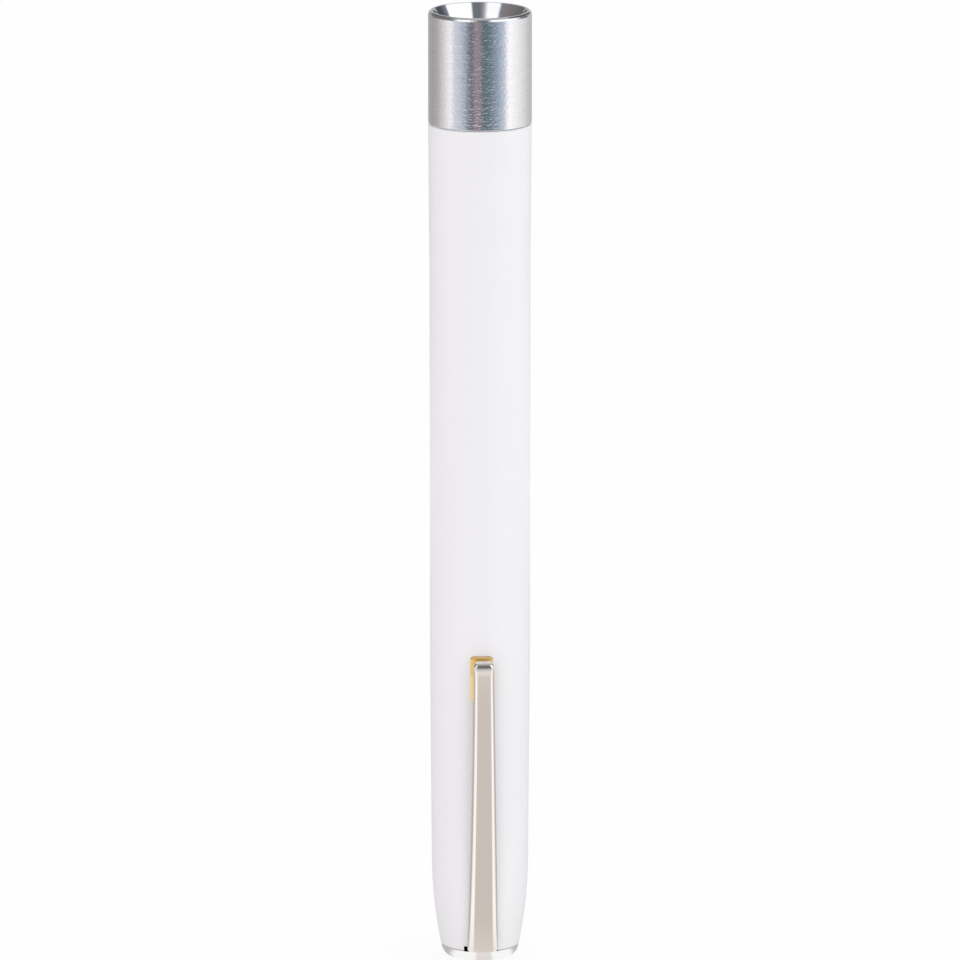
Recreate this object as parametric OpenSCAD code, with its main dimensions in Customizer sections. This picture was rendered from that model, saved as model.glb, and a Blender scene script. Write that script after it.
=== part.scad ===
// Penlight: a turned head with a lens-end lamp, a lacquered tube that holds two AAA cells,
// and a sprung pocket clip that works as the switch.
// Millimetres. +Z runs along the axis from tail to head, and the clip faces -Y.
// The origin is the centre of the flat end of the tail cap.

/* [Cells] */
// Diameter of a cell over its jacket
cell_d = 10.5; // [10:0.1:11]
// Height of a cell with its button
cell_h = 44.5; // [42:0.1:46]
// Diameter of the button
button_d = 3.8; // [3:0.1:5]
// Height of the button
button_h = 0.9; // [0.7:0.05:1.2]
// Sheet of the can
can_wall = 0.25; // [0.2:0.05:0.4]
// Film of the jacket
jacket_t = 0.12; // [0.08:0.01:0.2]
// Diameter of the negative plate
cell_plate_d = 7.6; // [6.6:0.1:8]
// Thickness of the negative plate
cell_plate_t = 0.4; // [0.3:0.05:0.5]
// Height of the sealing ring
cell_seal_h = 1; // [0.8:0.1:1.6]

/* [Tube] */
// Space between a cell and the tube, all round
cell_room = 0.65; // [0.6:0.05:1]
// Wall of the tube along the barrel
tube_wall = 0.95; // [0.9:0.05:1.2]
// How much smaller in radius the tube is at its tail shoulder than along the barrel
shoulder_drop = 0.23; // [0:0.01:0.4]
// How much smaller in radius the tube is at its tail end than along the barrel
tail_drop = 1.45; // [1:0.05:1.6]
// Height of the drawn-in curve at the tail
tail_curve_h = 12.5; // [11:0.5:16]
// Height of the true cylinder's start above the tube's end
barrel_low_h = 44; // [43.6:0.1:48]
// Length of the true cylinder
barrel_h = 51; // [40:0.5:56]

/* [Head] */
// How much larger in radius the head is than the barrel
head_step = 0.15; // [0.1:0.05:0.22]
// Height of the head above the tube
head_h = 15.4; // [15:0.1:17]
// Width of the ring round the mouth
rim_w = 0.6; // [0.55:0.05:0.9]
// Width of the flat at the very top of that ring
rim_flat_w = 0.3; // [0.1:0.05:0.35]
// Fall of the ring's slope from that flat to its outer edge
rim_fall = 0.2; // [0.15:0.01:0.35]
// Width and height of the bevel below the slope
rim_bevel_w = 0.1; // [0.06:0.01:0.2]
rim_bevel_h = 0.25; // [0.1:0.01:0.3]
// Height of the cone between the throat and the mouth
cone_h = 6.1; // [5.4:0.05:6.8]
// Diameter of the throat at the foot of the cone
throat_d = 6.6; // [6.4:0.1:7]
// Height of the throat
throat_h = 0.8; // [0.6:0.1:1]
// Diameter of the lamp chamber
chamber_d = 9.8; // [9.5:0.1:10]
// Bevel round the lower edge of the head
seam_bevel = 0.15; // [0.1:0.05:0.2]

/* [Head thread] */
// Pitch of the thread between head and tube
thread_pitch = 1; // [0.9:0.05:1.1]
// Height of the thread's ridge
thread_depth = 0.4; // [0.3:0.05:0.45]
// Width of the ridge at its crest
thread_crest = 0.25; // [0.15:0.05:0.3]
// Length of the threaded spigot
spigot_h = 5.8; // [5:0.1:6.5]

/* [Lamp] */
// Height of the lamp from contact to lens
lamp_h = 24; // [23:0.1:25]
// How far the lens stands out of the throat
lens_proud = 0.8; // [0.4:0.1:1.2]
// Diameter of the lens
lens_d = 5.8; // [5.4:0.1:6]
// Largest diameter of the glass
glass_d = 8.6; // [8:0.1:8.8]
// Diameter of the glass neck
neck_d = 7.4; // [7:0.1:7.6]
// Wall of the glass
glass_wall = 0.45; // [0.35:0.05:0.6]
// Diameter of the lamp's shell over its thread
shell_d = 9.4; // [9.2:0.1:9.5]
// Sheet of the shell
shell_wall = 0.3; // [0.25:0.05:0.4]
// Height of the shell
shell_h = 9.6; // [9:0.1:10]
// Pitch of the lamp's thread
lamp_pitch = 1.8; // [1.7:0.05:1.9]
// Height of the lamp thread's ridge
lamp_thread_depth = 0.4; // [0.3:0.05:0.4]
// Diameter of the solder button
solder_d = 2.6; // [2:0.1:3]
// Height of the solder button
solder_h = 0.8; // [0.7:0.05:1]
// Height of the glass insulator below the shell
insulator_h = 1.7; // [1.4:0.1:2]
// Diameter of the glass bead
bead_d = 3; // [2.8:0.1:3.4]
// Diameter of a lead wire
lead_d = 0.4; // [0.3:0.05:0.5]
// Distance between the lead wires
lead_gap = 2.2; // [2:0.05:2.3]
// Diameter of the filament's coil
filament_d = 0.25; // [0.2:0.05:0.3]

/* [Lamp socket] */
// Wall of the socket behind its thread
socket_wall = 0.3; // [0.25:0.05:0.4]
// Length of the socket inside the head
socket_grip_h = 3; // [2:0.1:4]
// Thickness of the socket's flange
socket_flange_t = 0.7; // [0.5:0.1:1]

/* [Clip] */
// Thickness of the clip's sheet
clip_t = 0.5; // [0.45:0.05:0.6]
// Width of the clip at its root
clip_root_w = 4.2; // [3.8:0.1:4.4]
// Width of the clip towards its tip
clip_tip_w = 2.85; // [2.6:0.05:3.2]
// Depth of the channel, outside
clip_channel_h = 1.15; // [1:0.05:1.25]
// Height of the clip's tip above the tail end of the tube
clip_h = 41.6; // [40.5:0.1:43]
// Outer radius of the bend at the root
root_bend_r = 1.1; // [1:0.05:1.3]
// Radius of the turned-in nose
nose_r = 0.75; // [0.7:0.05:1.2]
// Length of its straight end
nose_leg = 0.43; // [0.3:0.01:0.6]
// Angle through which the nose turns
nose_turn = 75; // [60:1:80]
// Gap between the nose and the contact plate
switch_gap = 0.62; // [0.5:0.01:0.9]
// Lean of the arm away from the tube at its root
root_lean = 9; // [8:0.5:11]
// Lean of the arm back towards the tube at its nose
tip_lean = 1.5; // [0:0.5:3]

/* [Contact plate] */
// Width of the brass plate
plate_w = 3; // [2.6:0.1:3.4]
// Thickness of the brass plate
plate_t = 0.35; // [0.25:0.05:0.35]
// Length of its outer leg
plate_h = 6.2; // [5:0.05:8]
// How far its upper edge lies above the clip's tip
plate_show = 0.3; // [0.2:0.05:1]
// Length of its inner leg
plate_inner_h = 4; // [3:0.1:6]
// Radius of its rounded corners
plate_corner_r = 0.5; // [0.3:0.05:0.8]
// Sideways shift of the plate from the clip
plate_shift = -0.2; // [-0.4:0.05:0.4]

/* [Tail] */
// Height of the tail cap
cap_h = 1.7; // [1.5:0.05:2]
// How much smaller in radius the tail cap is than the tube's end
cap_step = 0.1; // [0:0.02:0.2]
// Thickness of the insulating washer
washer_t = 0.2; // [0.15:0.05:0.3]
// Diameter of the tail cap's stud
stud_d = 3; // [2.6:0.1:3.4]
// Height of the insulating bush
bush_h = 4.4; // [3.6:0.1:5]
// Diameter of the nut's flange
nut_flange_d = 8; // [7.6:0.1:8.4]
// Thickness of the nut's flange
nut_flange_t = 0.6; // [0.5:0.1:1]
// Size of the nut across its corners
nut_d = 5; // [4.4:0.1:5.2]
// Height of the nut above its flange
nut_h = 1.8; // [1.2:0.1:2.4]

/* [Spring] */
// Height of the spring between its seats
spring_h = 6.6; // [6:0.1:8]
// Mean diameter of the spring
spring_d = 6.6; // [6.4:0.1:6.8]
// Diameter of the spring's wire
spring_wire_d = 0.7; // [0.5:0.05:0.8]
// Turns of the spring
spring_turns = 4.2; // [3:0.1:4.5]

/* [Hidden] */

// Segments of a full circle, of the tail's wide curve, and of a full turn of a thread or of the spring
$fn = 96;
tail_curve_segments = 720;
thread_segments = 24;
spring_segments = 24;
// How far a cut runs past what it cuts
overrun = 1;
// Clearance between pieces that are pushed or clamped together
fit = 0.05;
// Clearance of the head's thread in the tube, along the axis and in radius
thread_axial_gap = 0.12;
thread_radial_gap = 0.16;
// Clearance of the lamp's thread in its socket
lamp_thread_gap = 0.08;
// Angle of a thread's flanks
flank_angle = 25;
// Shares of a thread's pitch that stay plain at a shoulder
runout_share = 0.6;

// Radii
cell_r = cell_d / 2;
bore_r = cell_r + cell_room;
barrel_r = bore_r + tube_wall;
shoulder_r = barrel_r - shoulder_drop;
tail_r = barrel_r - tail_drop;
head_r = barrel_r + head_step;
mouth_r = head_r - rim_w;
throat_r = throat_d / 2;
chamber_r = chamber_d / 2;
cap_r = tail_r - cap_step;
stud_r = stud_d / 2;

// Heights, stacked from the tail
tube_low_z = cap_h + washer_t;
bush_top_z = tube_low_z + bush_h;
spring_low_z = bush_top_z + nut_flange_t;
rear_cell_z = spring_low_z + spring_h;
front_cell_z = rear_cell_z + cell_h;
lamp_z = front_cell_z + cell_h;
lens_top_z = lamp_z + lamp_h;
throat_top_z = lens_top_z - lens_proud;
chamber_top_z = throat_top_z - throat_h;
head_top_z = throat_top_z + cone_h;
tube_top_z = head_top_z - head_h;
spigot_low_z = tube_top_z - spigot_h;
shoulder_z = tube_low_z + tail_curve_h;
barrel_low_z = tube_low_z + barrel_low_h;
barrel_top_z = barrel_low_z + barrel_h;

// Radius of the drawn-in curve, which leaves the shoulder along the axis
curve_drop = shoulder_r - tail_r;
tail_curve_r = (tail_curve_h * tail_curve_h + curve_drop * curve_drop) / (2 * curve_drop);
// Outer radius of the tube along its cone between shoulder and barrel
function tube_r(z) = shoulder_r + shoulder_drop * (z - shoulder_z) / (barrel_low_z - shoulder_z);

// Thread of the head
thread_root_r = bore_r - thread_radial_gap;
thread_crest_r = thread_root_r + thread_depth;
groove_r = thread_crest_r + thread_radial_gap;
thread_h = spigot_h - 2 * runout_share * thread_pitch;
thread_low_z = spigot_low_z + runout_share * thread_pitch;
thread_turns = thread_h / thread_pitch;

// Lamp and socket
shell_root_r = shell_d / 2 - lamp_thread_depth;
shell_bore_r = shell_root_r - shell_wall;
shell_low_z = lamp_z + solder_h + insulator_h;
shell_top_z = shell_low_z + shell_h;
lamp_crest = lamp_thread_depth;
lamp_thread_low_z = shell_low_z + runout_share * lamp_pitch;
lamp_thread_turns = 3;
socket_bore_r = shell_root_r + lamp_thread_gap;
socket_groove_r = shell_d / 2 + lamp_thread_gap;
socket_r = socket_groove_r + socket_wall;
socket_low_z = shell_low_z + shell_wall;
socket_top_z = spigot_low_z + socket_grip_h;
spigot_bore_r = socket_r + fit;
socket_flange_r = thread_root_r - thread_radial_gap;
lens_r = lens_d / 2;
glass_r = glass_d / 2;
neck_r = neck_d / 2;
lens_centre_z = lens_top_z - lens_r;
glass_steps = 8;
// Places along the glass, as shares of the height from shell to lens centre
belly_share = 0.3;
bead_share = 0.25;
filament_share = 0.62;
// Depth of the neck in the shell, as a share of the shell's height
neck_share = 0.25;
neck_low_z = shell_top_z - neck_share * shell_h;
belly_z = shell_top_z + belly_share * (lens_centre_z - shell_top_z);
bead_z = shell_top_z + bead_share * (lens_centre_z - shell_top_z);
filament_z = shell_top_z + filament_share * (lens_centre_z - shell_top_z);
cavity_top_z = lens_centre_z - glass_wall;
lead_r = lead_d / 2;

// Room round the clip's root: below and above its tongue, over it in the tube, and at either side
tongue_room = 0.12;
tongue_lift_room = 0.5;
notch_top_room = 0.17;
notch_left_room = 0.4;
notch_right_room = 0.08;
stud_room = 0.3;
tongue_z = cap_h + tongue_room;
tongue_top_z = tongue_z + clip_t;

// Clip, along its outer face
clip_top_z = tube_low_z + clip_h;
plate_top_z = clip_top_z + plate_show;
plate_low_z = plate_top_z - plate_h;
plate_face_r = tube_r(plate_top_z) + fit + plate_t;
root_heading = 90 - root_lean;
top_heading = 90 + tip_lean;
end_heading = top_heading + nose_turn;
bend_y = tail_r + stud_room;
bend_z = tongue_z + root_bend_r;
nose_y = plate_face_r + switch_gap + clip_t * sin(end_heading);
arm_root = [bend_y, bend_z] + root_bend_r * [sin(root_heading), -cos(root_heading)];
nose_span = [sin(end_heading) - sin(top_heading), cos(top_heading) - cos(end_heading)];
nose_end_span = nose_leg * [cos(end_heading), sin(end_heading)];
arm_top = [nose_y, clip_top_z] - nose_r * nose_span - nose_end_span;
arm_rise = arm_top[1] - arm_root[1];
// Reach of the arm's curve from its ends, as shares of its rise
arm_low_share = 0.3;
arm_high_share = 0.5;
arm_low = arm_root + arm_low_share * arm_rise * [1 / tan(root_heading), 1];
arm_high = arm_top - arm_high_share * arm_rise * [1 / tan(top_heading), 1];
bend_steps = 6;
arm_steps = 18;
nose_steps = 7;
shoulder_steps = 4;
// Radius of the clip's shoulders, and narrowing of the nose, as shares of half the clip's width
shoulder_share = 0.43;
nose_narrow_share = 0.1;
// Share of the channel's depth at the bend's end, and shares of the arm where it deepens and runs out
bend_channel_share = 0.4;
full_channel_share = 0.12;
runout_arm_share = 0.08;
// Least depth of the channel inside
channel_least = 0.05;

// Spring
spring_sides = 6;
spring_pitch = (spring_h - spring_wire_d - 2 * fit) / spring_turns;
function spring_point(i) = [
    spring_d / 2 * cos(360 * i / spring_segments),
    spring_d / 2 * sin(360 * i / spring_segments),
    spring_low_z + fit + spring_wire_d / 2 + spring_pitch * i / spring_segments
];
spring_steps = round(spring_turns * spring_segments);
spring_spans = [for (i = [0:spring_steps]) for (j = [i + spring_segments / 2:spring_steps])
    norm(spring_point(j) - spring_point(i))];
echo(spring_gap = min(spring_spans) - spring_wire_d);

// Point of a cubic curve at t between its ends, and its direction there
function cubic(a, b, c, d, t) =
    a * pow(1 - t, 3) + b * 3 * t * pow(1 - t, 2) + c * 3 * t * t * (1 - t) + d * pow(t, 3);
function cubic_way(a, b, c, d, t) =
    (b - a) * pow(1 - t, 2) + (c - b) * 2 * t * (1 - t) + (d - c) * t * t;

// Faces of a closed tube of rings that have the same number of points each
function tube_faces(rings, sides) = concat(
    [for (j = [1:sides - 2]) [0, j + 1, j]],
    [for (i = [0:rings - 2]) for (j = [0:sides - 1]) each
        let (a = i * sides + j, b = i * sides + (j + 1) % sides)
        [[a, b, a + sides], [b, b + sides, a + sides]]],
    [for (j = [1:sides - 2]) [for (k = [0, j, j + 1]) (rings - 1) * sides + k]]
);

// Corners of a thread's ridge at angle a: its foot at r0 and its crest at r1, both centred on z
function ridge_corners(a, z, r0, r1, w0, w1) = [
    [r0 * cos(a), r0 * sin(a), z - w0 / 2],
    [r1 * cos(a), r1 * sin(a), z - w1 / 2],
    [r1 * cos(a), r1 * sin(a), z + w1 / 2],
    [r0 * cos(a), r0 * sin(a), z + w0 / 2]
];

// Helical ridge that starts at height z and angle 0 and climbs anticlockwise
module ridge(z, turns, pitch, foot_r, crest_r, crest_w) {
    steps = round(turns * thread_segments);
    foot_w = crest_w + 2 * (crest_r - foot_r) * tan(flank_angle);
    corners = [for (i = [0:steps]) each ridge_corners(
        360 * i / thread_segments, z + pitch * i / thread_segments, foot_r, crest_r, foot_w, crest_w)];
    polyhedron(corners, tube_faces(steps + 1, 4), convexity = 10);
}

// Rectangle in a half section, from its corner nearest the axis and lowest to its opposite corner
module block(r0, z0, r1, z1) {
    translate([r0, z0]) square([r1 - r0, z1 - z0]);
}

// Half section of the tube's outside
module tube_section() {
    intersection() {
        block(0, tube_low_z, shoulder_r, shoulder_z);
        translate([shoulder_r - tail_curve_r, shoulder_z]) circle(tail_curve_r, $fn = tail_curve_segments);
    }
    polygon([
        [0, shoulder_z], [shoulder_r, shoulder_z], [barrel_r, barrel_low_z], [barrel_r, barrel_top_z],
        [head_r, tube_top_z - seam_bevel], [head_r - seam_bevel, tube_top_z], [0, tube_top_z]
    ]);
}

// Half section of the space inside the tube, which follows the outside up to the barrel's plain bore
module bore_section() {
    intersection() {
        translate([-tube_wall, 0]) tube_section();
        block(0, tube_low_z, bore_r, barrel_low_z);
    }
    block(0, tube_low_z - overrun, tail_r - tube_wall, shoulder_z);
    block(0, barrel_low_z - overrun, tube_r(barrel_low_z - overrun) - tube_wall, barrel_low_z);
    block(0, barrel_low_z, bore_r, tube_top_z + overrun);
}

// Space for the clip's root, up to a height, from the stud's middle out past the tube
module root_space(top_z, left, right) {
    translate([-clip_root_w / 2 - left, -head_r, 0])
        cube([clip_root_w + left + right, head_r, top_z]);
}

module body_tube() color("ghostwhite") difference() {
    rotate_extrude() difference() {
        tube_section();
        bore_section();
    }
    ridge(thread_low_z - thread_pitch, thread_turns + 3, thread_pitch, thread_root_r, groove_r,
        thread_crest + 2 * thread_axial_gap);
    root_space(tongue_top_z + notch_top_room, notch_left_room, notch_right_room);
    translate([plate_shift, 0, 0]) rotate([90, 0, 0]) linear_extrude(head_r) intersection() {
        plate_outline(fit);
        block(-plate_w, plate_top_z - plate_t - fit, plate_w, plate_top_z + overrun);
    }
}

// Front of the contact plate, with rounded corners at the fold, wider by a clearance where it is a slot
module plate_outline(clearance) {
    half = plate_w / 2;
    corner_x = half - plate_corner_r;
    corner_z = plate_top_z - plate_corner_r;
    block(-corner_x, plate_low_z - overrun, corner_x, plate_top_z + clearance);
    block(-half - clearance, plate_low_z - overrun, half + clearance, corner_z);
    for (x = [-corner_x, corner_x]) translate([x, corner_z]) circle(plate_corner_r + clearance);
}

// Brass strip folded through the tube's slot, with one leg outside and one inside
module contact_plate() color("goldenrod") intersection() {
    rotate_extrude() {
        inner_r = tube_r(plate_top_z) - tube_wall - fit;
        polygon([
            [tube_r(plate_low_z) + fit, plate_low_z], [tube_r(plate_low_z) + fit + plate_t, plate_low_z],
            [plate_face_r, plate_top_z - plate_t], [plate_face_r - plate_t, plate_top_z - plate_t]
        ]);
        block(inner_r - plate_t, plate_top_z - plate_t, plate_face_r - plate_t, plate_top_z);
        intersection() {
            translate([plate_face_r - plate_t, plate_top_z - plate_t]) circle(plate_t);
            block(plate_face_r - plate_t, plate_top_z - plate_t, plate_face_r, plate_top_z);
        }
        polygon([
            [tube_r(plate_top_z - plate_inner_h) - tube_wall - fit - plate_t, plate_top_z - plate_inner_h],
            [tube_r(plate_top_z - plate_inner_h) - tube_wall - fit, plate_top_z - plate_inner_h],
            [inner_r, plate_top_z - plate_t], [inner_r - plate_t, plate_top_z - plate_t]
        ]);
    }
    translate([plate_shift, 0, 0]) rotate([90, 0, 0]) linear_extrude(plate_face_r + overrun) plate_outline(0);
}

module tail_washer() color("dimgray") difference() {
    translate([0, 0, cap_h]) cylinder(r = cap_r, h = washer_t);
    translate([0, 0, cap_h - overrun]) cylinder(r = stud_r + fit, h = washer_t + 2 * overrun);
    root_space(tube_low_z + overrun, notch_left_room, notch_right_room);
}

module tail_cap() color("silver") rotate_extrude() {
    block(0, 0, cap_r - cap_h, cap_h);
    intersection() {
        translate([cap_r - cap_h, cap_h]) circle(cap_h);
        block(cap_r - cap_h, 0, cap_r, cap_h);
    }
    block(0, 0, stud_r, spring_low_z + nut_h);
}

module tail_bush() color("black") difference() {
    rotate_extrude() difference() {
        intersection() {
            translate([-fit, 0]) bore_section();
            block(0, tube_low_z, bore_r, bush_top_z);
        }
        block(0, 0, stud_r + fit, spring_low_z);
    }
    root_space(tongue_top_z + tongue_lift_room, notch_left_room, notch_left_room);
}

module spring_nut() color("gold") difference() {
    translate([0, 0, bush_top_z]) {
        cylinder(d = nut_flange_d, h = nut_flange_t);
        cylinder(d = nut_d, h = nut_flange_t + nut_h, $fn = 6);
    }
    cylinder(r = stud_r + fit, h = spring_low_z + nut_h + overrun);
}

module battery_spring() color("lightgray") {
    rings = [for (i = [0:spring_steps]) for (j = [0:spring_sides - 1])
        let (a = 360 * i / spring_segments, b = -360 * j / spring_sides)
        spring_point(i) + spring_wire_d / 2 * [cos(b) * cos(a), cos(b) * sin(a), sin(b)]];
    polyhedron(rings, tube_faces(spring_steps + 1, spring_sides), convexity = 10);
}

// Half the clip's width at height z
function clip_half_w(z) =
    (clip_root_w + (clip_tip_w - clip_root_w) * max(0, min(1, (z - arm_root[1]) / arm_rise))) / 2;

// Stations along the clip's outer face: [distance from the axis, height], heading (0 outwards, 90 upwards),
// how much of the channel's depth there is, and half the width
clip_stations = concat(
    [[[0, tongue_z], 0, 0, clip_root_w / 2]],
    [for (i = [0:bend_steps - 1])
        let (h = root_heading * i / bend_steps, p = [bend_y, bend_z] + root_bend_r * [sin(h), -cos(h)])
        [p, h, bend_channel_share * i / bend_steps, clip_root_w / 2]],
    [for (i = [0:arm_steps])
        let (
            t = i / arm_steps,
            p = cubic(arm_root, arm_low, arm_high, arm_top, t),
            way = cubic_way(arm_root, arm_low, arm_high, arm_top, t),
            deepening = bend_channel_share + (1 - bend_channel_share) * min(1, t / full_channel_share),
            share = min(deepening, (1 - t) / runout_arm_share)
        )
        [p, atan2(way[1], way[0]), share, clip_half_w(p[1])]],
    [for (i = [1:nose_steps])
        let (
            t = i / nose_steps,
            h = top_heading + nose_turn * t,
            p = arm_top + nose_r * [sin(h) - sin(top_heading), cos(top_heading) - cos(h)]
        )
        [p, h, 0, clip_tip_w / 2 * (1 - nose_narrow_share * t * t)]],
    [[[nose_y, clip_top_z], end_heading, 0, clip_tip_w / 2 * (1 - nose_narrow_share)]]
);

// Section of the clip across a station: half width w and channel depth d, with the outer face at 0
function clip_section(w, d) =
    let (
        r = min(shoulder_share * w, d - channel_least),
        bevel = (d - clip_t) / 2,
        right = concat(
            [for (i = [0:shoulder_steps])
                let (a = 90 - 90 * i / shoulder_steps)
                [w - r + r * cos(a), r * sin(a) - r]],
            [[w, -d], [w - clip_t, -d], [w - clip_t, -clip_t - bevel], [w - clip_t - bevel, -clip_t]]
        )
    )
    concat(right, [for (i = [len(right) - 1:-1:0]) [-right[i][0], right[i][1]]]);

module clip() color("silver") difference() {
    depths = [for (s = clip_stations)
        clip_t + channel_least + s[2] * (clip_channel_h - clip_t - channel_least)];
    points = [for (i = [0:len(clip_stations) - 1])
        let (s = clip_stations[i])
        for (q = clip_section(s[3], depths[i]))
            [q[0], -s[0][0] - q[1] * sin(s[1]), s[0][1] - q[1] * cos(s[1])]];
    polyhedron(points, tube_faces(len(clip_stations), len(clip_section(1, 1))), convexity = 10);
    cylinder(r = stud_r + stud_room, h = spring_low_z);
}

// The pieces of one cell that stands at height z
can_r = cell_r - jacket_t - fit;
can_top = cell_h - button_h;
cell_plate_r = cell_plate_d / 2;

module cell_can(z) color("lightsteelblue") translate([0, 0, z]) rotate_extrude() difference() {
    union() {
        block(0, jacket_t, can_r, can_top - jacket_t);
        block(0, can_top - jacket_t - can_wall, button_d / 2, cell_h);
    }
    block(0, -overrun, can_r - can_wall, can_top - jacket_t - can_wall);
    block(0, 0, button_d / 2 - can_wall, cell_h - can_wall);
}

module cell_core(z) color("darkslategray") translate([0, 0, z + cell_seal_h + fit])
    cylinder(r = can_r - can_wall - fit, h = can_top - jacket_t - can_wall - cell_seal_h - 2 * fit);

module cell_jacket(z) color("steelblue") translate([0, 0, z]) rotate_extrude() difference() {
    block(can_r - can_wall, 0, cell_r, can_top + fit);
    block(0, jacket_t, can_r + fit, can_top - jacket_t + fit);
}

module cell_seal(z) color("beige") translate([0, 0, z]) rotate_extrude() difference() {
    block(cell_plate_r - cell_seal_h, jacket_t, can_r - can_wall - fit, cell_seal_h);
    block(0, 0, cell_plate_r + fit, cell_plate_t + fit);
}

module cell_plate(z) color("silver") translate([0, 0, z]) cylinder(r = cell_plate_r, h = cell_plate_t);

// Half section of the head's outside with its sloped mouth edge, and of the space inside
module head_section() {
    seam_z = tube_top_z + fit;
    slope_low_z = head_top_z - rim_fall;
    polygon([
        [0, seam_z], [head_r - seam_bevel, seam_z], [head_r, seam_z + seam_bevel],
        [head_r, slope_low_z - rim_bevel_h], [head_r - rim_bevel_w, slope_low_z],
        [mouth_r + rim_flat_w, head_top_z], [0, head_top_z]
    ]);
    block(0, spigot_low_z, thread_root_r, seam_z);
}

module lamp_space_section() {
    block(0, spigot_low_z - overrun, spigot_bore_r, socket_top_z + fit);
    block(0, socket_top_z, chamber_r, chamber_top_z);
    block(0, chamber_top_z - overrun, throat_r, throat_top_z);
    polygon([[0, throat_top_z], [throat_r, throat_top_z], [mouth_r, head_top_z], [0, head_top_z]]);
    block(0, head_top_z, mouth_r, head_top_z + overrun);
}

module head() color("gainsboro") {
    rotate_extrude() difference() {
        head_section();
        lamp_space_section();
    }
    ridge(thread_low_z, thread_turns, thread_pitch, (thread_root_r + spigot_bore_r) / 2, thread_crest_r,
        thread_crest);
}

module lamp_socket() color("gold") difference() {
    rotate_extrude() {
        block(socket_bore_r, socket_low_z, socket_r, socket_top_z);
        block(socket_bore_r, spigot_low_z - socket_flange_t, socket_flange_r, spigot_low_z);
    }
    ridge(lamp_thread_low_z - lamp_pitch, lamp_thread_turns + 2, lamp_pitch, shell_bore_r, socket_groove_r,
        lamp_crest + 2 * lamp_thread_gap);
}

module lamp_shell() color("silver") {
    rotate_extrude() block(shell_bore_r, shell_low_z, shell_root_r, shell_top_z);
    ridge(lamp_thread_low_z, lamp_thread_turns, lamp_pitch, (shell_bore_r + shell_root_r) / 2, shell_d / 2,
        lamp_crest);
}

// Outside of the glass from its neck to the lens, moved inwards by a wall
function glass_curve(wall) =
    let (
        low_z = (shell_top_z + belly_z) / 2,
        high_z = (belly_z + lens_centre_z) / 2,
        side_r = glass_r - wall
    )
    concat(
        [for (i = [0:glass_steps]) cubic(
            [neck_r - wall, shell_top_z], [neck_r - wall, low_z],
            [side_r, low_z], [side_r, belly_z], i / glass_steps)],
        [for (i = [1:glass_steps]) cubic(
            [side_r, belly_z], [side_r, high_z],
            [lens_r - wall, high_z], [lens_r - wall, lens_centre_z - wall], i / glass_steps)]
    );

module lamp_glass() color("aliceblue", 0.5) rotate_extrude() {
    difference() {
        polygon(concat([[0, neck_low_z], [neck_r, neck_low_z]], glass_curve(0), [[0, lens_centre_z]]));
        polygon(concat([[0, neck_low_z + glass_wall], [neck_r - glass_wall, neck_low_z + glass_wall]],
            glass_curve(glass_wall), [[0, cavity_top_z]]));
        block(0, neck_low_z - overrun, lead_gap / 2 + lead_d, neck_low_z + glass_wall);
    }
    translate([0, lens_centre_z]) intersection() {
        circle(lens_r);
        square(lens_r);
    }
}

module lamp_insulator() color("black") rotate_extrude() {
    foot_z = lamp_z + solder_h;
    polygon([[0, foot_z], [solder_d / 2, foot_z], [shell_root_r, shell_low_z], [0, shell_low_z]]);
    block(0, shell_low_z, shell_bore_r - fit, lamp_thread_low_z);
}

module lamp_contact() color("lightgray") rotate_extrude() intersection() {
    translate([0, lamp_z + fit + solder_d / 2]) circle(d = solder_d);
    block(0, lamp_z, solder_d, lamp_z + solder_h);
}

// The two lead wires, thicker by a clearance where they are a hole
module leads(clearance) {
    for (x = [-lead_gap / 2, lead_gap / 2]) translate([x, 0, lamp_thread_low_z + fit])
        cylinder(r = lead_r + clearance, h = filament_z + lead_d - lamp_thread_low_z);
}

module lamp_bead() color("azure") difference() {
    translate([0, 0, bead_z]) rotate([0, 0, 90]) sphere(d = bead_d);
    leads(fit);
}

module lamp_wires() color("gray") leads(0);

module lamp_filament() color("darkgray") translate([-lead_gap / 2 + lead_r + fit, 0, filament_z])
    rotate([0, 90, 0]) cylinder(d = filament_d, h = lead_gap - lead_d - 2 * fit);

body_tube();
contact_plate();
tail_washer();
tail_cap();
tail_bush();
spring_nut();
battery_spring();
clip();
cell_can(rear_cell_z);  // rear_cell_can
cell_core(rear_cell_z);  // rear_cell_core
cell_jacket(rear_cell_z);  // rear_cell_jacket
cell_seal(rear_cell_z);  // rear_cell_seal
cell_plate(rear_cell_z);  // rear_cell_plate
cell_can(front_cell_z);  // front_cell_can
cell_core(front_cell_z);  // front_cell_core
cell_jacket(front_cell_z);  // front_cell_jacket
cell_seal(front_cell_z);  // front_cell_seal
cell_plate(front_cell_z);  // front_cell_plate
head();
lamp_socket();
lamp_shell();
lamp_glass();
lamp_insulator();
lamp_contact();
lamp_bead();
lamp_wires();
lamp_filament();
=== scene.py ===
import math

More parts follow.
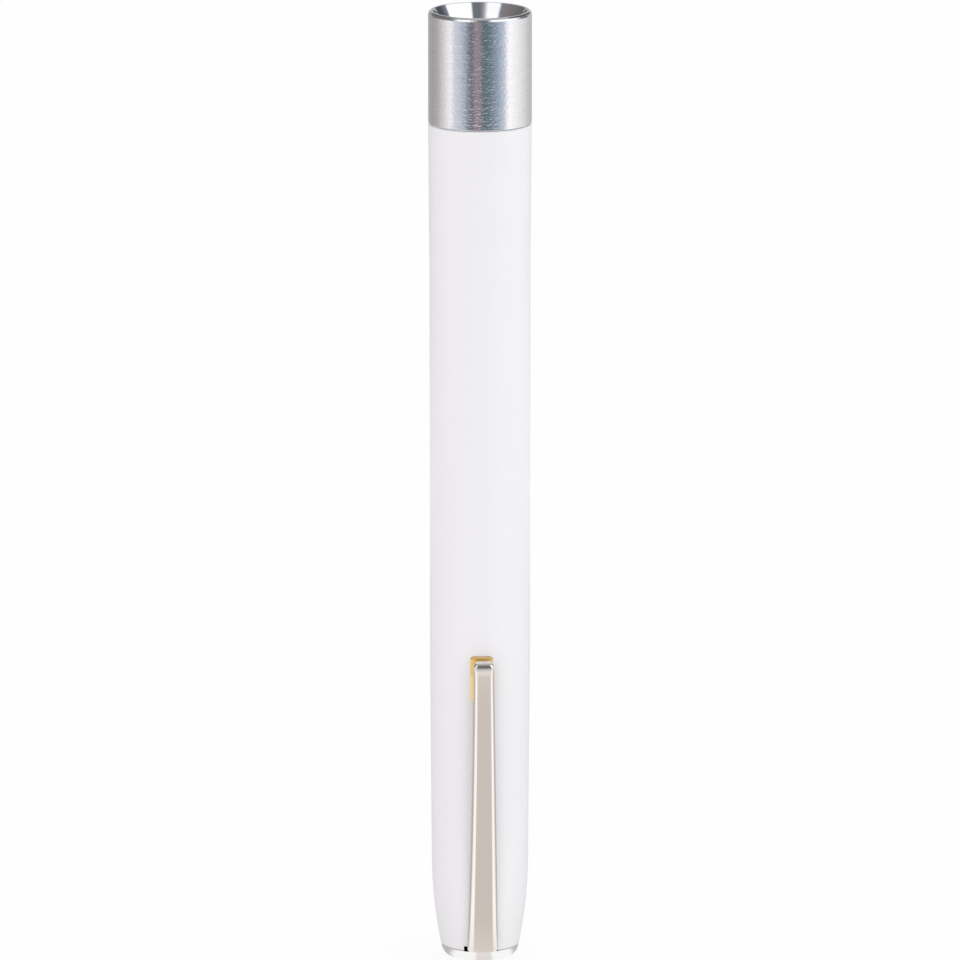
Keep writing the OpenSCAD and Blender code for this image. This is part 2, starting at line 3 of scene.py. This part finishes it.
import bmesh
import bpy
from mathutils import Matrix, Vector


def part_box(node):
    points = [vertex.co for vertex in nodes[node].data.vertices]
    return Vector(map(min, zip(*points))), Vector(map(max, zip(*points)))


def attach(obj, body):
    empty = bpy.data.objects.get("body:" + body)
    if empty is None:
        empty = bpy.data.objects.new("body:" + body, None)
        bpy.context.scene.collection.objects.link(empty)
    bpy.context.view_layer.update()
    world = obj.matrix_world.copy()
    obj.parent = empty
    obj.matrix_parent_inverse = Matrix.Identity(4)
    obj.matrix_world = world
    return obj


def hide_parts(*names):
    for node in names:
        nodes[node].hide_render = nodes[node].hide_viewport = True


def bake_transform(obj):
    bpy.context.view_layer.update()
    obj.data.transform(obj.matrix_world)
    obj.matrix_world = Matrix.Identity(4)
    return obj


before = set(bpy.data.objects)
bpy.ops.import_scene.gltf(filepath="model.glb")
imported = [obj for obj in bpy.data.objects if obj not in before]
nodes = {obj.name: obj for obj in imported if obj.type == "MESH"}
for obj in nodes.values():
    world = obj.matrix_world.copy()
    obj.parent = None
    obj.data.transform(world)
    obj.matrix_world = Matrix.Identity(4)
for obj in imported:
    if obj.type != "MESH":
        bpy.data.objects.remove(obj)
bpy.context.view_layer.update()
bpy.context.scene.view_settings.view_transform = "Standard"


# Body tube: a drawn metal tube, narrowed at the tail and threaded inside at its mouth.
# It is sprayed with a white satin lacquer outside and left bare inside.
class Wire:
    """An output of a shader node. Arithmetic on it adds Math nodes."""

    def __init__(self, tree, socket=None):
        self.tree, self.socket = tree, socket

    def node(self, kind, settings=None, inputs=None, out=0):
        """A new node: first its settings, then the values or wires of its sockets."""
        made = self.tree.nodes.new(kind)
        for name, value in (settings or {}).items():
            if name == "stops":
                ramp = made.color_ramp.elements
                while len(ramp) < len(value):
                    ramp.new(1.0)
                for stop, (position, colour) in zip(ramp, value):
                    stop.position, stop.color = position, (*colour, 1)
            else:
                setattr(made, name, value)
        for name, value in (inputs or {}).items():
            if isinstance(value, Wire):
                self.tree.links.new(value.socket, made.inputs[name])
            else:
                made.inputs[name].default_value = value
        return Wire(self.tree, made.outputs[out])

    def maths(self, operation, *others):
        """A Math node whose first value is this one."""
        return self.node("ShaderNodeMath", {"operation": operation}, dict(enumerate((self, *others))))

    def parts(self):
        """The x, y and z of this vector."""
        split = self.node("ShaderNodeSeparateXYZ", None, {0: self}).socket.node
        return [Wire(self.tree, socket) for socket in split.outputs]

    def __add__(self, other):
        return self.maths("ADD", other)

    def __sub__(self, other):
        return self.maths("SUBTRACT", other)

    def __rsub__(self, other):
        return self.node("ShaderNodeMath", {"operation": "SUBTRACT"}, {0: other, 1: self})

    def __mul__(self, other):
        return self.maths("MULTIPLY", other)

    def __truediv__(self, other):
        return self.maths("DIVIDE", other)

    def __lt__(self, other):
        return self.maths("LESS_THAN", other)

    __radd__, __rmul__ = __add__, __mul__

    def over(self, low, high, to_low=0.0, to_high=1.0, smooth=False):
        """This value's place between two values, held at its ends."""
        kind = "SMOOTHSTEP" if smooth else "LINEAR"
        ends = {"Value": self, "From Min": low, "From Max": high, "To Min": to_low, "To Max": to_high}
        return self.node("ShaderNodeMapRange", {"interpolation_type": kind}, ends)

    def mix(self, one, other):
        """A colour between two colours, by this value."""
        return self.node("ShaderNodeMix", {"data_type": "RGBA"}, {0: self, 6: one, 7: other}, 2)

    def noise(self, scale, stretch=(1, 1, 1), detail=2.0):
        """Cloudy noise at this place, with so many spots to the metre along each axis."""
        scales = [scale * s for s in stretch]
        spread = self.node("ShaderNodeMapping", None, {"Vector": self, "Scale": scales})
        return self.node("ShaderNodeTexNoise", None, {"Vector": spread, "Scale": 1.0, "Detail": detail})

    def bump(self, strength, depth):
        """The normal of a surface that stands out by depth where this value is one."""
        return self.node("ShaderNodeBump", None, {"Strength": strength, "Distance": depth, "Height": self})

    def feed(self, shader, name):
        """Joins this value to one of a shader's sockets."""
        self.tree.links.new(self.socket, shader.inputs[name])


def new_finish(name, constants):
    """A new material with these constant values: itself, its shader, and its place on the object."""
    material = bpy.data.materials.new(name)
    material.use_nodes = True
    tree = material.node_tree
    shader = tree.nodes["Principled BSDF"]
    for socket, value in constants.items():
        shader.inputs[socket].default_value = value
    return material, shader, Wire(tree).node("ShaderNodeTexCoord", out=3)


def dress(material, *names):
    """Puts a material on nodes of the frame."""
    for name in names:
        for place in nodes[name].material_slots:
            place.material = material


mm = 0.001
taper_low, taper_high = 14.4 * mm, 45.9 * mm
taper_low_r, taper_high_r = 6.62 * mm, 6.85 * mm
tail_curve_r = 64.6 * mm
coated_depth = 0.5 * mm
lacquer, shader, place = new_finish("lacquer", {"IOR": 1.5, "Coat Roughness": 0.08, "Coat Weight": 0.12})
x, y, z = place.parts()
radius = (x * x + y * y).maths("SQRT")
below = (taper_low - z).maths("MAXIMUM", 0.0)
outside = z.over(taper_low, taper_high, taper_low_r, taper_high_r) - below * below / (2 * tail_curve_r)
bare = (radius - outside) < -coated_depth
cloud = place.noise(90)
white = cloud.mix((0.89, 0.885, 0.888, 1), (0.872, 0.868, 0.872, 1))
bare.mix(white, (0.56, 0.44, 0.24, 1)).feed(shader, "Base Color")
bare.feed(shader, "Metallic")
(0.32 + 0.1 * place.noise(260)).feed(shader, "Roughness")
place.noise(700, detail=1.0).bump(0.1, 0.008 * mm).feed(shader, "Normal")
dress(lacquer, "body_tube")


# Contact plate: a strip of rolled brass, folded through the tube's slot so that it grips the wall.
# It has dulled in patches. The spring's nut and the lamp's socket are turned from the same brass.
def mottle(shader, spots, colours, roughness):
    """Lets one noise vary a shader between two colours, and its roughness from a least value up."""
    one, other = ((*colour, 1) for colour in colours)
    least, spread = roughness
    spots.mix(one, other).feed(shader, "Base Color")
    (least + spread * spots).feed(shader, "Roughness")


brass, shader, place = new_finish("brass", {"Metallic": 1.0})
tarnish = place.noise(420, detail=4.0).over(0.4, 0.7)
mottle(shader, tarnish, ((1, 0.71, 0.26), (0.95, 0.62, 0.19)), (0.3, 0.14))
place.noise(1500, (4, 4, 0.3)).bump(0.15, 0.01 * mm).feed(shader, "Normal")
dress(brass, "contact_plate", "spring_nut", "lamp_socket")


# Tail washer and bush: vulcanised fibre, punched and turned, which keeps the tail cap's stud and the
# clip's tongue off the tube. The washer is of a paler fibre than the bush above it.
washer_top = 1.9 * mm
fibre, shader, place = new_finish("fibre", {})
z = place.parts()[2]
fleck = place.noise(2600, (1, 1, 4), 4.0)
dark = fleck.over(0.3, 0.75).mix((0.045, 0.043, 0.045, 1), (0.11, 0.105, 0.1, 1))
(z < washer_top).mix(dark, (0.5, 0.49, 0.48, 1)).feed(shader, "Base Color")
(0.5 + 0.25 * fleck).feed(shader, "Roughness")
fleck.bump(0.3, 0.02 * mm).feed(shader, "Normal")
dress(fibre, "tail_washer", "tail_bush")


# Tail cap: a turned brass plug with a stud, rounded at its edge, polished and nickel-plated.
# The stud goes up through the washer, the clip's tongue and the bush.
mirror, shader, place = new_finish("polished_nickel", {"Metallic": 1.0})
haze = place.noise(900, (1, 1, 3), 3.0)
mottle(shader, haze, ((0.95, 0.945, 0.94), (0.91, 0.905, 0.9)), (0.05, 0.1))
place.noise(5200, (1, 1, 6)).bump(0.04, 0.004 * mm).feed(shader, "Normal")
dress(mirror, "tail_cap")


# Battery spring: hard steel wire, wound to a coil with closed ends. It stands on the nut's flange
# round the nut and presses the cells forward, so it lengthens when the head is unscrewed.
wire_sides = 14
wire_smooth_angle = math.radians(50)


def coil(name, wire_r, start, axis, rises):
    """Wire wound about an axis through the origin: a disc at start, extruded and turned by each rise."""
    bpy.ops.object.select_all(action="DESELECT")
    bpy.ops.mesh.primitive_circle_add(vertices=wire_sides, radius=wire_r, fill_type="NGON", location=start,
                                      rotation=(math.pi / 2, 0, 0))
    bpy.ops.object.transform_apply(location=True, rotation=True, scale=True)
    piece = bpy.context.object
    piece.name = piece.data.name = name
    bpy.ops.object.mode_set(mode="EDIT")
    bpy.ops.mesh.select_mode(type="FACE")
    bpy.ops.mesh.select_all(action="SELECT")
    for rise, turn in rises:
        along = [rise if a == axis else 0 for a in "XYZ"]
        bpy.ops.mesh.extrude_region_move(TRANSFORM_OT_translate={"value": along})
        bpy.ops.transform.rotate(value=-turn, orient_axis=axis, center_override=(0, 0, 0))
    bpy.ops.mesh.select_mode(type="VERT")
    bpy.ops.mesh.select_all(action="SELECT")
    bpy.ops.mesh.fill_holes(sides=0)
    bpy.ops.mesh.normals_make_consistent(inside=False)
    bpy.ops.object.mode_set(mode="OBJECT")
    bpy.ops.object.shade_smooth_by_angle(angle=wire_smooth_angle)
    return piece


spring_low, spring_high = 6.95 * mm, 13.45 * mm
coil_r, wire_r = 3.3 * mm, 0.35 * mm
closed_turns, open_turns, steps = 1, 2.2, 36
closed_rise = 2.08 * wire_r
open_rise = (spring_high - spring_low - 2 * wire_r - 2 * closed_turns * closed_rise) / open_turns
closed_end = [closed_rise] * (closed_turns * steps)
rises = closed_end + [open_rise] * round(open_turns * steps) + closed_end
spring = coil("wound_spring", wire_r, (coil_r, 0, spring_low + wire_r), "Z",
              [(rise / steps, 2 * math.pi / steps) for rise in rises])
steel, shader, place = new_finish("spring_wire", {"Metallic": 1.0})
drawn = place.noise(3000, (1, 1, 0.4), 3.0)
mottle(shader, drawn, ((0.5, 0.5, 0.51), (0.36, 0.35, 0.35)), (0.25, 0.2))
drawn.bump(0.15, 0.01 * mm).feed(shader, "Normal")
spring.data.materials.append(steel)
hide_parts("battery_spring")
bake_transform(spring)


# Clip: spring sheet, stamped, folded to a shallow channel and bent in at both ends, then nickel-plated.
# Its tongue is held under the tube's end by the tail cap's stud, and its nose is the switch's contact.
sheet = 0.5 * mm
root_half, tip_half = 2.1 * mm, 1.425 * mm
wall, least_wall, straight_wall = 1.15 * mm, 0.55 * mm, 0.05 * mm
shoulder_share, shoulder_steps = 0.43, 8
tongue_z, tongue_places = 1.82 * mm, (0.0, 2.6 * mm, 4.6 * mm)
bend_start, bend_r, bend_angle, bend_steps = 5.7 * mm, 1.1 * mm, math.radians(81), 10
arm = [(6.786 * mm, 2.748 * mm), (8.684 * mm, 14.731 * mm),
       (9.482 * mm, 22.719 * mm), (8.964 * mm, 42.69 * mm)]
arm_steps = 48
root_share, rise_share, fall_share = 0.4, 0.12, 0.08
nose_r, nose_heading, nose_angle, nose_steps = 0.75 * mm, math.radians(91.5), math.radians(75), 8
nose_end, nose_taper = (7.971 * mm, 43.5 * mm), 0.1
hole_r, punch_h = 1.8 * mm, 4 * mm
broken_edge, edge_angle, clip_smooth_angle = 0.04 * mm, math.radians(55), math.radians(40)

# The stations along the bends: how far out and how high each lies, its heading, where its walls' depth
# lies between the least and the full, and half its width.
stations = [(outward, tongue_z, 0.0, 0.0, root_half) for outward in tongue_places]
for i in range(bend_steps):
    heading = bend_angle * i / bend_steps
    outward = bend_start + bend_r * math.sin(heading)
    height = tongue_z + bend_r * (1 - math.cos(heading))
    stations.append((outward, height, heading, root_share * i / bend_steps, root_half))
for i in range(arm_steps + 1):
    t = i / arm_steps
    shares = ((1 - t) ** 3, 3 * t * (1 - t) ** 2, 3 * t * t * (1 - t), t ** 3)
    outward, height = (sum(s * p[k] for s, p in zip(shares, arm)) for k in (0, 1))
    ways = ((1 - t) ** 2, 2 * t * (1 - t), t * t)
    run, climb = (sum(s * (q[k] - p[k]) for s, p, q in zip(ways, arm, arm[1:])) for k in (0, 1))
    share = min(root_share + (1 - root_share) * min(1, t / rise_share), (1 - t) / fall_share)
    half = root_half + t * (tip_half - root_half)
    stations.append((outward, height, math.atan2(climb, run), share, half))
for i in range(1, nose_steps + 1):
    heading = nose_heading + nose_angle * i / nose_steps
    outward = arm[-1][0] + nose_r * (math.sin(heading) - math.sin(nose_heading))
    height = arm[-1][1] + nose_r * (math.cos(nose_heading) - math.cos(heading))
    stations.append((outward, height, heading, 0.0, tip_half * (1 - nose_taper * (i / nose_steps) ** 2)))
stations.append((*nose_end, heading, 0.0, tip_half * (1 - nose_taper)))

# The channel's profile at its root, from the middle out over the rounded shoulder and down the wall.
shoulder = shoulder_share * root_half
curve = [math.pi / 2 * i / shoulder_steps for i in range(shoulder_steps + 1)]
right = [(root_half - shoulder + shoulder * math.sin(a), shoulder * math.cos(a) - shoulder) for a in curve]
profile = [(0, 0)] + right + [(root_half, -wall)]
profile = [(-a, b) for a, b in reversed(profile[1:])] + profile
across, along = len(profile), len(stations)

bpy.ops.object.select_all(action="DESELECT")
bpy.ops.mesh.primitive_grid_add(x_subdivisions=across - 1, y_subdivisions=along - 1, size=1)
clip = bpy.context.object
clip.name = clip.data.name = "pocket_clip"
column = [round((v.co.x + 0.5) * (across - 1)) for v in clip.data.vertices]
row = [round((v.co.y + 0.5) * (along - 1)) for v in clip.data.vertices]
bpy.ops.object.mode_set(mode="EDIT")
bpy.ops.mesh.select_mode(type="VERT")
work = bmesh.from_edit_mesh(clip.data)


def pick(wanted):
    """Selects the blank's vertices whose column and row are wanted."""
    for v in work.verts:
        v.select = wanted(column[v.index], row[v.index])
    work.select_flush_mode()
    bmesh.update_edit_mesh(clip.data)


# The blank is folded lengthwise first, column by column.
for i, (a, b) in enumerate(profile):
    pick(lambda c, r: c == i)
    bpy.ops.transform.translate(value=(a - (i / (across - 1) - 0.5), 0, b))
# Then each row is narrowed, its walls are trimmed, and it is turned and moved to its place along the bend.
for j, (outward, height, heading, share, half) in enumerate(stations):
    blank_y = j / (along - 1) - 0.5
    depth = least_wall + share * (wall - least_wall)
    edge = min(shoulder_share * half, depth - straight_wall)
    centre = (0, blank_y, 0)
    pick(lambda c, r: r == j and 0 < c < across - 1)
    bpy.ops.transform.resize(value=(1, 1, edge / shoulder), center_override=centre)
    pick(lambda c, r: r == j and c in (0, across - 1))
    bpy.ops.transform.translate(value=(0, 0, wall - depth))
    pick(lambda c, r: r == j)
    bpy.ops.transform.resize(value=(half / root_half, 1, 1), center_override=centre)
    bpy.ops.transform.rotate(value=heading - math.pi, orient_axis="X", center_override=centre)
    bpy.ops.transform.translate(value=(0, -outward - blank_y, height))
bpy.ops.mesh.select_all(action="SELECT")
bpy.ops.mesh.normals_make_consistent(inside=False)
arm_front = Vector((0, -9.1 * mm, 30 * mm))
nearest = min(work.faces, key=lambda f: (f.calc_center_median() - arm_front).length)
if nearest.normal.y > 0:
    bpy.ops.mesh.flip_normals()
bpy.ops.object.mode_set(mode="OBJECT")
thick = clip.modifiers.new("sheet", "SOLIDIFY")
thick.thickness, thick.offset, thick.use_even_offset = sheet, -1, True
bpy.ops.object.modifier_apply(modifier="sheet")
bpy.ops.object.select_all(action="DESELECT")
bpy.ops.mesh.primitive_cylinder_add(vertices=48, radius=hole_r, depth=punch_h, location=(0, 0, punch_h / 2))
punch = bpy.context.object
bpy.context.view_layer.objects.active = clip
hole = clip.modifiers.new("hole", "BOOLEAN")
hole.object, hole.operation, hole.solver = punch, "DIFFERENCE", "MANIFOLD"
bpy.ops.object.modifier_apply(modifier="hole")
bpy.data.objects.remove(punch)
rounded = clip.modifiers.new("edge", "BEVEL")
rounded.width, rounded.segments, rounded.limit_method = broken_edge, 2, "ANGLE"
rounded.angle_limit, rounded.use_clamp_overlap = edge_angle, False
bpy.ops.object.modifier_apply(modifier="edge")
clip.select_set(True)
bpy.ops.object.shade_smooth_by_angle(angle=clip_smooth_angle)

nickel, shader, place = new_finish("clip_nickel", {"Metallic": 1.0})
rub = place.noise(1400, (3, 3, 0.12), 3.0)
cloud = place.noise(260, detail=3.0)
cloud.mix((0.85, 0.8, 0.75, 1), (0.82, 0.765, 0.715, 1)).feed(shader, "Base Color")
(0.07 + 0.08 * rub).feed(shader, "Roughness")
rub.bump(0.06, 0.01 * mm).feed(shader, "Normal")
clip.data.materials.clear()
clip.data.materials.append(nickel)
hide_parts("clip")
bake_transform(clip)


# Cells: two dry cells in line, each a nickel-plated steel can in a shrunk film, with its filling, a nylon
# sealing ring and a pressed negative plate. They lie loose in the tube and lift with the head.
both = ("rear", "front")
plated, shader, place = new_finish("cell_steel", {"Metallic": 1.0})
spots = place.noise(700, detail=3.0)
mottle(shader, spots, ((0.72, 0.71, 0.69), (0.62, 0.61, 0.59)), (0.22, 0.16))
dress(plated, *(f"{cell}_cell_{piece}" for cell in both for piece in ("can", "plate")))

filling, shader, place = new_finish("cell_filling", {})
grains = place.noise(5000, detail=4.0)
mottle(shader, grains, ((0.03, 0.03, 0.032), (0.09, 0.085, 0.08)), (0.7, 0.25))
dress(filling, *(f"{cell}_cell_core" for cell in both))

film, shader, place = new_finish("cell_film", {"IOR": 1.52, "Coat Weight": 0.3, "Coat Roughness": 0.05})
wave = place.noise(320, (1, 1, 0.2), 2.0)
mottle(shader, wave, ((0.045, 0.11, 0.24), (0.06, 0.14, 0.29)), (0.2, 0.15))
wave.bump(0.1, 0.02 * mm).feed(shader, "Normal")
dress(film, *(f"{cell}_cell_jacket" for cell in both))

nylon, shader, place = new_finish("cell_nylon", {"IOR": 1.53})
cast = place.noise(900, detail=3.0)
mottle(shader, cast, ((0.6, 0.55, 0.42), (0.68, 0.64, 0.52)), (0.4, 0.2))
dress(nylon, *(f"{cell}_cell_seal" for cell in both))


# Lamp: a lens-end bulb with a threaded nickel-plated shell, a black glass foot with a solder button, and
# a bead that holds two lead wires with a coiled filament between their tips. The shell screws into the
# brass socket, and the socket into the head.
shell_nickel, shader, place = new_finish("lamp_nickel", {"Metallic": 1.0})
rings = place.noise(1600, (0.4, 0.4, 3), 3.0)
mottle(shader, rings, ((0.7, 0.66, 0.6), (0.58, 0.54, 0.49)), (0.2, 0.15))
dress(shell_nickel, "lamp_shell")

black_glass, shader, place = new_finish("black_glass", {"IOR": 1.55})
specks = place.noise(2400, detail=3.0)
mottle(shader, specks, ((0.008, 0.008, 0.01), (0.03, 0.028, 0.03)), (0.06, 0.1))
dress(black_glass, "lamp_insulator")

solder, shader, place = new_finish("solder", {"Metallic": 1.0})
dull = place.noise(3000, detail=3.0)
mottle(shader, dull, ((0.6, 0.6, 0.6), (0.42, 0.42, 0.43)), (0.25, 0.25))
dress(solder, "lamp_contact")

leads, shader, place = new_finish("lead_wire", {"Metallic": 1.0})
scale = place.noise(4000, (1, 1, 0.3), 3.0)
mottle(shader, scale, ((0.5, 0.4, 0.3), (0.34, 0.29, 0.25)), (0.3, 0.2))
dress(leads, "lamp_wires")

bead, shader, place = new_finish("bead_glass", {"IOR": 1.5, "Transmission Weight": 1.0})
milk = place.noise(1500, detail=2.0)
mottle(shader, milk, ((0.75, 0.86, 0.9), (0.62, 0.76, 0.84)), (0.04, 0.1))
dress(bead, "lamp_bead")

clear, shader, place = new_finish("lamp_glass", {"IOR": 1.5, "Transmission Weight": 1.0})
seeds = place.noise(500, detail=2.0)
mottle(shader, seeds, ((0.97, 0.985, 0.99), (0.94, 0.965, 0.975)), (0.01, 0.03))
dress(clear, "lamp_glass")

low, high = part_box("lamp_filament")
filament_r, winding_r, end_room = 0.022 * mm, 0.1 * mm, 0.025 * mm
turns, steps = 14, 12
rise = (high.x - low.x - 2 * end_room) / (turns * steps)
filament = coil("wound_filament", filament_r, (low.x + end_room, 0, winding_r), "X",
                [(rise, 2 * math.pi / steps)] * (turns * steps))
bpy.ops.object.mode_set(mode="EDIT")
bpy.ops.mesh.select_all(action="SELECT")
bpy.ops.transform.translate(value=(0, 0, (low.z + high.z) / 2))
bpy.ops.object.mode_set(mode="OBJECT")
tungsten, shader, place = new_finish("filament", {"Metallic": 1.0})
oxide = place.noise(9000, detail=2.0)
mottle(shader, oxide, ((0.3, 0.29, 0.28), (0.18, 0.18, 0.2)), (0.35, 0.2))
filament.data.materials.append(tungsten)
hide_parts("lamp_filament")
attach(filament, "head")


# Head: turned from aluminium bar, bored to a cone in front of the lamp and threaded below.
# The tool leaves fine rings and flecks on it, and the cone is polished.
cone_r, cone_low, cone_full = 6.38 * mm, 125.0 * mm, 125.5 * mm
turned, shader, place = new_finish("turned_metal", {"Metallic": 1.0})
x, y, z = place.parts()
cone = ((x * x + y * y).maths("SQRT") < cone_r) * z.over(cone_low, cone_full)
rings = place.noise(3400, (0.06, 0.06, 1), 3.0)
flecks = place.noise(2600, (0.8, 0.8, 1.5), 4.0)
blotch = place.noise(300, detail=2.0)
marks = (0.6 * rings + 0.4 * flecks).over(0.3, 0.7)
marks.mix((0.86, 0.865, 0.875, 1), (0.76, 0.765, 0.78, 1)).feed(shader, "Base Color")
((1 - cone) * (0.03 + 0.05 * rings + 0.03 * blotch) + 0.05).feed(shader, "Roughness")
((1 - cone) * (0.7 * flecks + 0.3 * rings)).bump(0.6, 0.075 * mm).feed(shader, "Normal")
dress(turned, "head")


# Floor, studio and camera: a sheet of white paper under a soft white light, with a bright wall at each side
# and a dark gap in front where the camera stands. The camera sees the paper and the sky as plain white.
paper_r, paper_sides = 2.5, 96
foot_near, foot_far = 0.008, 0.02
plain_near, plain_far = 0.2, 0.3
fade_near, fade_far = 0.3, 0.42
dark_bearing = math.radians(3.6)
glow_share = 0.9
bpy.ops.object.select_all(action="DESELECT")
bpy.ops.mesh.primitive_circle_add(vertices=paper_sides, radius=paper_r, fill_type="NGON")
paper = bpy.context.object
paper.name = paper.data.name = "paper"
paper_white = bpy.data.materials.new("paper")
paper_white.use_nodes = True
tree = paper_white.node_tree
tree.nodes.remove(tree.nodes["Principled BSDF"])
new = Wire(tree)
ray_kinds = ("Is Camera Ray", "Is Glossy Ray", "Is Transmission Ray")
seen, mirrored, through = (new.node("ShaderNodeLightPath", out=kind) for kind in ray_kinds)
place = new.node("ShaderNodeTexCoord", out=3)
reach = place.node("ShaderNodeVectorMath", {"operation": "LENGTH"}, {0: place}, "Value")
x, y, z = place.parts()
aside = (x.maths("ARCTAN2", y * -1) - dark_bearing).maths("ABSOLUTE")
off_centre = aside.over(math.radians(10), math.radians(20), smooth=True)
# Painted reflection on the paper, seen only by glossy rays: darker toward the camera's side, less dark
# within 8 to 20 mm of the foot, grey toward the sides, and bright past 0.2 to 0.3 m.
near_painted_reflection = off_centre.mix((0.8, 0.76, 0.735, 1), (1.03, 1.03, 1.03, 1))
far_painted_reflection = off_centre.mix((0.67, 0.635, 0.605, 1), (1.2, 1.2, 1.2, 1))
painted_reflection = reach.over(foot_near, foot_far).mix(near_painted_reflection, far_painted_reflection)
to_the_side = aside.over(math.radians(55), math.radians(85), smooth=True)
painted_reflection = to_the_side.mix(painted_reflection, (0.5, 0.5, 0.51, 1))
painted_reflection = reach.over(plain_near, plain_far, smooth=True).mix(painted_reflection, (1.1, 1.1, 1.1, 1))
shown = seen.maths("MAXIMUM", mirrored).maths("MAXIMUM", through)
matt = new.node("ShaderNodeBsdfDiffuse", None, {"Color": (0.9, 0.9, 0.9, 1)})
# The paper glows plain white to the camera and shows the painted reflection to glossy rays.
glow = new.node("ShaderNodeEmission", None, {"Color": mirrored.mix((1, 1, 1, 1), painted_reflection), "Strength": 1.0})
card = new.node("ShaderNodeMixShader", None, {0: shown * glow_share, 1: matt, 2: glow})
gone = new.node("ShaderNodeBsdfTransparent")
faded = mirrored * reach.over(fade_near, fade_far)
surface = new.node("ShaderNodeMixShader", None, {0: faded, 1: card, 2: gone})
tree.links.new(surface.socket, tree.nodes["Material Output"].inputs["Surface"])
paper.data.materials.append(paper_white)

world = bpy.data.worlds.new("studio")
bpy.context.scene.world = world
world.use_nodes = True
tree = world.node_tree
new = Wire(tree)
seen, mirrored = (new.node("ShaderNodeLightPath", out=kind) for kind in ray_kinds[:2])
x, y, z = new.node("ShaderNodeTexCoord", out=0).parts()
way_round = x.maths("ARCTAN2", y * -1).over(-math.pi, math.pi)


def round_about(*stops):
    """A colour all round the object, from colours at bearings in degrees: 0 in front, 90 at the right."""
    stops = [(0.5 + degrees / 360, colour) for degrees, colour in stops]
    return way_round.node("ShaderNodeValToRGB", {"stops": stops}, {0: way_round})


walls = round_about(
    (-180, (0.5, 0.5, 0.51)), (-135, (0.42, 0.4, 0.4)), (-112, (0.5, 0.48, 0.48)),
    (-90, (0.8, 0.78, 0.77)), (-71, (1.12, 1.09, 1.08)), (-65, (0.76, 0.77, 0.86)),
    (-45, (0.55, 0.6, 0.69)), (-30, (0.25, 0.29, 0.35)), (-23, (0.15, 0.14, 0.18)),
    (-16.5, (0.16, 0.15, 0.18)), (-14, (0.54, 0.46, 0.51)), (-12.5, (0.5, 0.42, 0.47)),
    (-11, (0.23, 0.16, 0.19)), (-7, (0.23, 0.16, 0.19)), (-5.5, (0.46, 0.39, 0.43)),
    (-4, (0.48, 0.41, 0.45)), (-1.5, (0.13, 0.15, 0.17)), (15, (0.12, 0.18, 0.21)),
    (32, (0.27, 0.34, 0.42)), (50, (0.56, 0.63, 0.73)), (56, (0.7, 0.76, 0.86)),
    (61, (1.25, 1.22, 1.22)), (95, (0.98, 0.96, 0.96)), (135, (0.62, 0.62, 0.63)),
    (180, (0.5, 0.5, 0.51)))
lamps = round_about(
    (-180, (0.6, 0.6, 0.6)), (-166, (0.55, 0.55, 0.55)), (-150, (0.13, 0.12, 0.12)),
    (-110, (0.2, 0.19, 0.19)), (-85, (0.26, 0.22, 0.23)), (-68, (0.25, 0.26, 0.31)),
    (-60, (1.2, 1.2, 1.2)), (-28, (1.2, 1.2, 1.2)), (-20, (0.6, 0.59, 0.61)),
    (-12, (0.3, 0.29, 0.32)), (-2, (0.18, 0.19, 0.22)), (18, (0.18, 0.2, 0.22)),
    (24, (1.25, 1.25, 1.25)), (94, (1.25, 1.25, 1.25)), (99, (0.24, 0.25, 0.31)),
    (118, (0.08, 0.09, 0.1)), (150, (0.12, 0.11, 0.12)), (166, (0.55, 0.55, 0.55)),
    (180, (0.6, 0.6, 0.6)))
above = y.over(-0.3, 0.3).mix((0.55, 0.55, 0.55, 1), (0.42, 0.42, 0.43, 1))
sides = z.over(0.1, 0.2, smooth=True).mix(walls, lamps)
mirrored_light = z.over(0.78, 0.88, smooth=True).mix(sides, above)
tint = x.over(-1.0, 1.0).mix((0.96, 0.925, 0.94, 1), (1.16, 1.17, 1.205, 1))
strength = y.over(-1.0, 0.2, 1.05, 0.935)
soft_light = tint.node("ShaderNodeVectorMath", {"operation": "SCALE"}, {0: tint, "Scale": strength})
light = seen.mix(mirrored.mix(soft_light, mirrored_light), (1, 1, 1, 1))
tree.links.new(light.socket, tree.nodes["Background"].inputs["Color"])

camera_bearing, camera_pitch = math.radians(-3.6), math.radians(12.69)
distance, eye_z = 1.226, 0.343
lens, sensor = 345.9, 36
nearest_seen, farthest_seen = 0.01, 20
eye = (math.sin(camera_bearing) * distance, -math.cos(camera_bearing) * distance, eye_z)
bpy.ops.object.camera_add(location=eye, rotation=(math.pi / 2 - camera_pitch, 0, camera_bearing))
camera = bpy.context.object
camera.data.lens, camera.data.sensor_width = lens, sensor
camera.data.clip_start, camera.data.clip_end = nearest_seen, farthest_seen
bpy.context.scene.camera = camera
